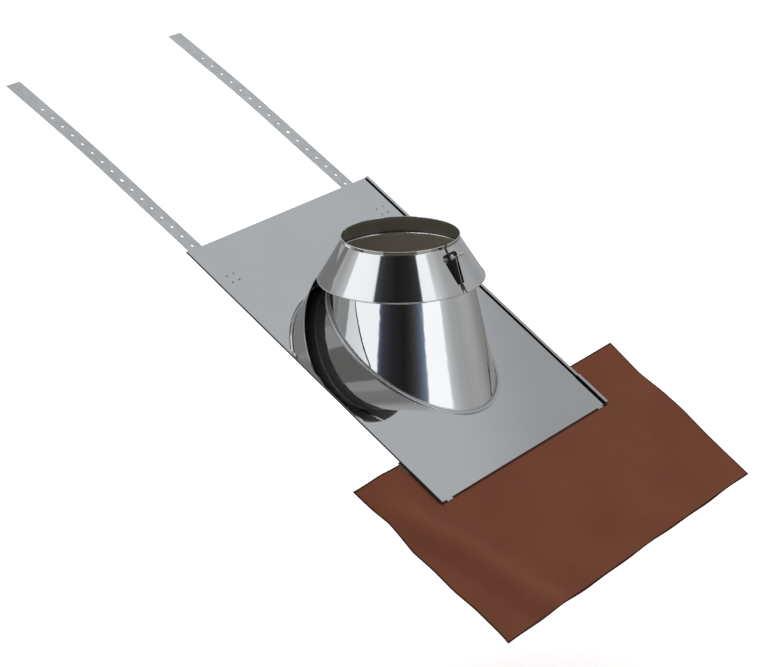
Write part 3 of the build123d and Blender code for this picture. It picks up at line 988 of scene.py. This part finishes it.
def shell_material():
    """Light of its own: two ramps round the bearing, one for the lower heights and one
    for the upper, with a dark brown below them, a brownish grey above, and a white patch
    overhead."""
    material = bpy.data.materials.new("surroundings")
    material.use_nodes = True
    material.cycles.emission_sampling = "NONE"
    nodes, links = material.node_tree.nodes, material.node_tree.links
    nodes.remove(nodes["Principled BSDF"])
    glow = nodes.new("ShaderNodeEmission")
    glow.inputs["Strength"].default_value = SHELL_STRENGTH
    place = nodes.new("ShaderNodeTexCoord")
    turned = nodes.new("ShaderNodeMapping")
    turned.inputs["Rotation"].default_value = (0.0, 0.0, math.radians(-CAMERA_BEARING))
    bearing = nodes.new("ShaderNodeTexGradient")
    bearing.gradient_type = "RADIAL"
    parts = nodes.new("ShaderNodeSeparateXYZ")
    links.new(place.outputs["Object"], turned.inputs["Vector"])
    links.new(turned.outputs["Vector"], bearing.inputs["Vector"])
    links.new(place.outputs["Object"], parts.inputs["Vector"])
    height = parts.outputs["Z"]
    lower = band_ramp(nodes, links, bearing.outputs["Fac"], LOWER_BANDS)
    upper = band_ramp(nodes, links, bearing.outputs["Fac"], UPPER_BANDS)
    is_upper = height_share(nodes, links, height, LOWER_TO_UPPER)
    bands = mixed(nodes, links, is_upper, lower, upper)
    above_floor = height_share(nodes, links, height, FLOOR_TO_BANDS)
    with_floor = mixed(nodes, links, above_floor, FLOOR_TONE, bands)
    ceiling = height_share(nodes, links, height, BANDS_TO_CEILING, CEILING_SHARE)
    with_ceiling = mixed(nodes, links, ceiling, with_floor, CEILING_TONE)
    window = height_share(nodes, links, height, CEILING_TO_WINDOW)
    whole = mixed(nodes, links, window, with_ceiling, WINDOW_TONE)
    links.new(whole, glow.inputs["Color"])
    links.new(glow.outputs["Emission"], nodes["Material Output"].inputs["Surface"])
    return material


def shell_points():
    """A ball round the object: the height angle runs from nadir to zenith, and the
    bearing goes once round."""
    height = np.linspace(-0.5 * math.pi, 0.5 * math.pi, SHELL_RINGS)[:, None]
    bearing = np.linspace(0.0, 2.0 * math.pi, SHELL_SECTORS, endpoint=False)[None, :]
    x = np.cos(height) * np.cos(bearing)
    y = np.cos(height) * np.sin(bearing)
    z = np.broadcast_to(np.sin(height), x.shape)
    return SHELL_RADIUS * np.stack([x, y, z], axis=-1).reshape(-1, 3)


shell_faces = ring_faces(SHELL_RINGS, SHELL_SECTORS)
shell = new_piece("surroundings", shell_points(), shell_faces)
shell.data.materials.append(shell_material())
shell.visible_camera = False
shell.visible_diffuse = False
shell.visible_shadow = False
shell.visible_transmission = False

# %% [markdown]
# ## Floor, world and lamp
# The floor is a pale sheet below the apron's lowest edge. The camera sees it a little
# lighter than it is lit, so that it joins the white world, and the world gives matt
# surfaces a plain level.

# %% Floor
FLOOR_REACH, FLOOR_HEIGHT = 9.0, -0.75
FLOOR_LIFT = 0.40
floor_points = np.full((4, 3), FLOOR_HEIGHT)
floor_points[:, :2] = FLOOR_REACH * np.array([[-1, -1], [1, -1], [1, 1], [-1, 1]])
floor = new_piece("floor", floor_points, np.array([[0, 1, 2, 3]]))
floor_material = bpy.data.materials.new("pale_floor")
floor_material.use_nodes = True
floor_nodes, floor_links = floor_material.node_tree.nodes, floor_material.node_tree.links
floor_shader = floor_nodes["Principled BSDF"]
floor_shader.inputs["Base Color"].default_value = (0.98, 0.98, 0.98, 1.0)
floor_shader.inputs["Roughness"].default_value = 0.9
floor_shader.inputs["Specular IOR Level"].default_value = 0.1
lift = floor_nodes.new("ShaderNodeEmission")
lift.inputs["Color"].default_value = WHITE
camera_only = floor_nodes.new("ShaderNodeLightPath")
level = floor_nodes.new("ShaderNodeMath")
level.operation = "MULTIPLY"
level.inputs[1].default_value = FLOOR_LIFT
both = floor_nodes.new("ShaderNodeAddShader")
floor_links.new(camera_only.outputs["Is Camera Ray"], level.inputs[0])
floor_links.new(level.outputs["Value"], lift.inputs["Strength"])
floor_links.new(floor_shader.outputs["BSDF"], both.inputs[0])
floor_links.new(lift.outputs["Emission"], both.inputs[1])
floor_links.new(both.outputs["Shader"], floor_nodes["Material Output"].inputs["Surface"])
floor.data.materials.append(floor_material)
floor.visible_glossy = False

# %% World
PLAIN_LEVEL = 0.80
world = bpy.data.worlds.new("studio")
bpy.context.scene.world = world
world.use_nodes = True
nodes, links = world.node_tree.nodes, world.node_tree.links
plain = nodes["Background"]
plain.inputs["Color"].default_value = WHITE
plain.inputs["Strength"].default_value = PLAIN_LEVEL
white = nodes.new("ShaderNodeBackground")
white.inputs["Color"].default_value = WHITE
white.inputs["Strength"].default_value = 1.0
path = nodes.new("ShaderNodeLightPath")
seen = nodes.new("ShaderNodeMath")
seen.operation = "MAXIMUM"
seen_or_through = nodes.new("ShaderNodeMath")
seen_or_through.operation = "MAXIMUM"
choose = nodes.new("ShaderNodeMixShader")
links.new(path.outputs["Is Camera Ray"], seen.inputs[0])
links.new(path.outputs["Is Glossy Ray"], seen.inputs[1])
links.new(seen.outputs["Value"], seen_or_through.inputs[0])
links.new(path.outputs["Is Transmission Ray"], seen_or_through.inputs[1])
links.new(seen_or_through.outputs["Value"], choose.inputs["Fac"])
links.new(plain.outputs["Background"], choose.inputs[1])
links.new(white.outputs["Background"], choose.inputs[2])
links.new(choose.outputs["Shader"], nodes["World Output"].inputs["Surface"])
print("world: white to the camera,", PLAIN_LEVEL, "to matt surfaces")

# %% Lamp
LAMP_SIZE, LAMP_WATTS = 2.5, 55.0
LAMP_PLACE = (1.7, 0.6, 3.0)
LAMP_TURN = (-8.0, 28.0, 0.0)
lamp_data = bpy.data.lights.new("soft_key", "AREA")
lamp_data.shape = "SQUARE"
lamp_data.size = LAMP_SIZE
lamp_data.energy = LAMP_WATTS
lamp = bpy.data.objects.new("soft_key", lamp_data)
lamp.location = LAMP_PLACE
lamp.rotation_euler = [math.radians(v) for v in LAMP_TURN]
lamp.visible_glossy = False
bpy.context.scene.collection.objects.link(lamp)
bpy.context.scene.view_settings.view_transform = "Standard"
print("lamp of", LAMP_WATTS, "W at", LAMP_PLACE)
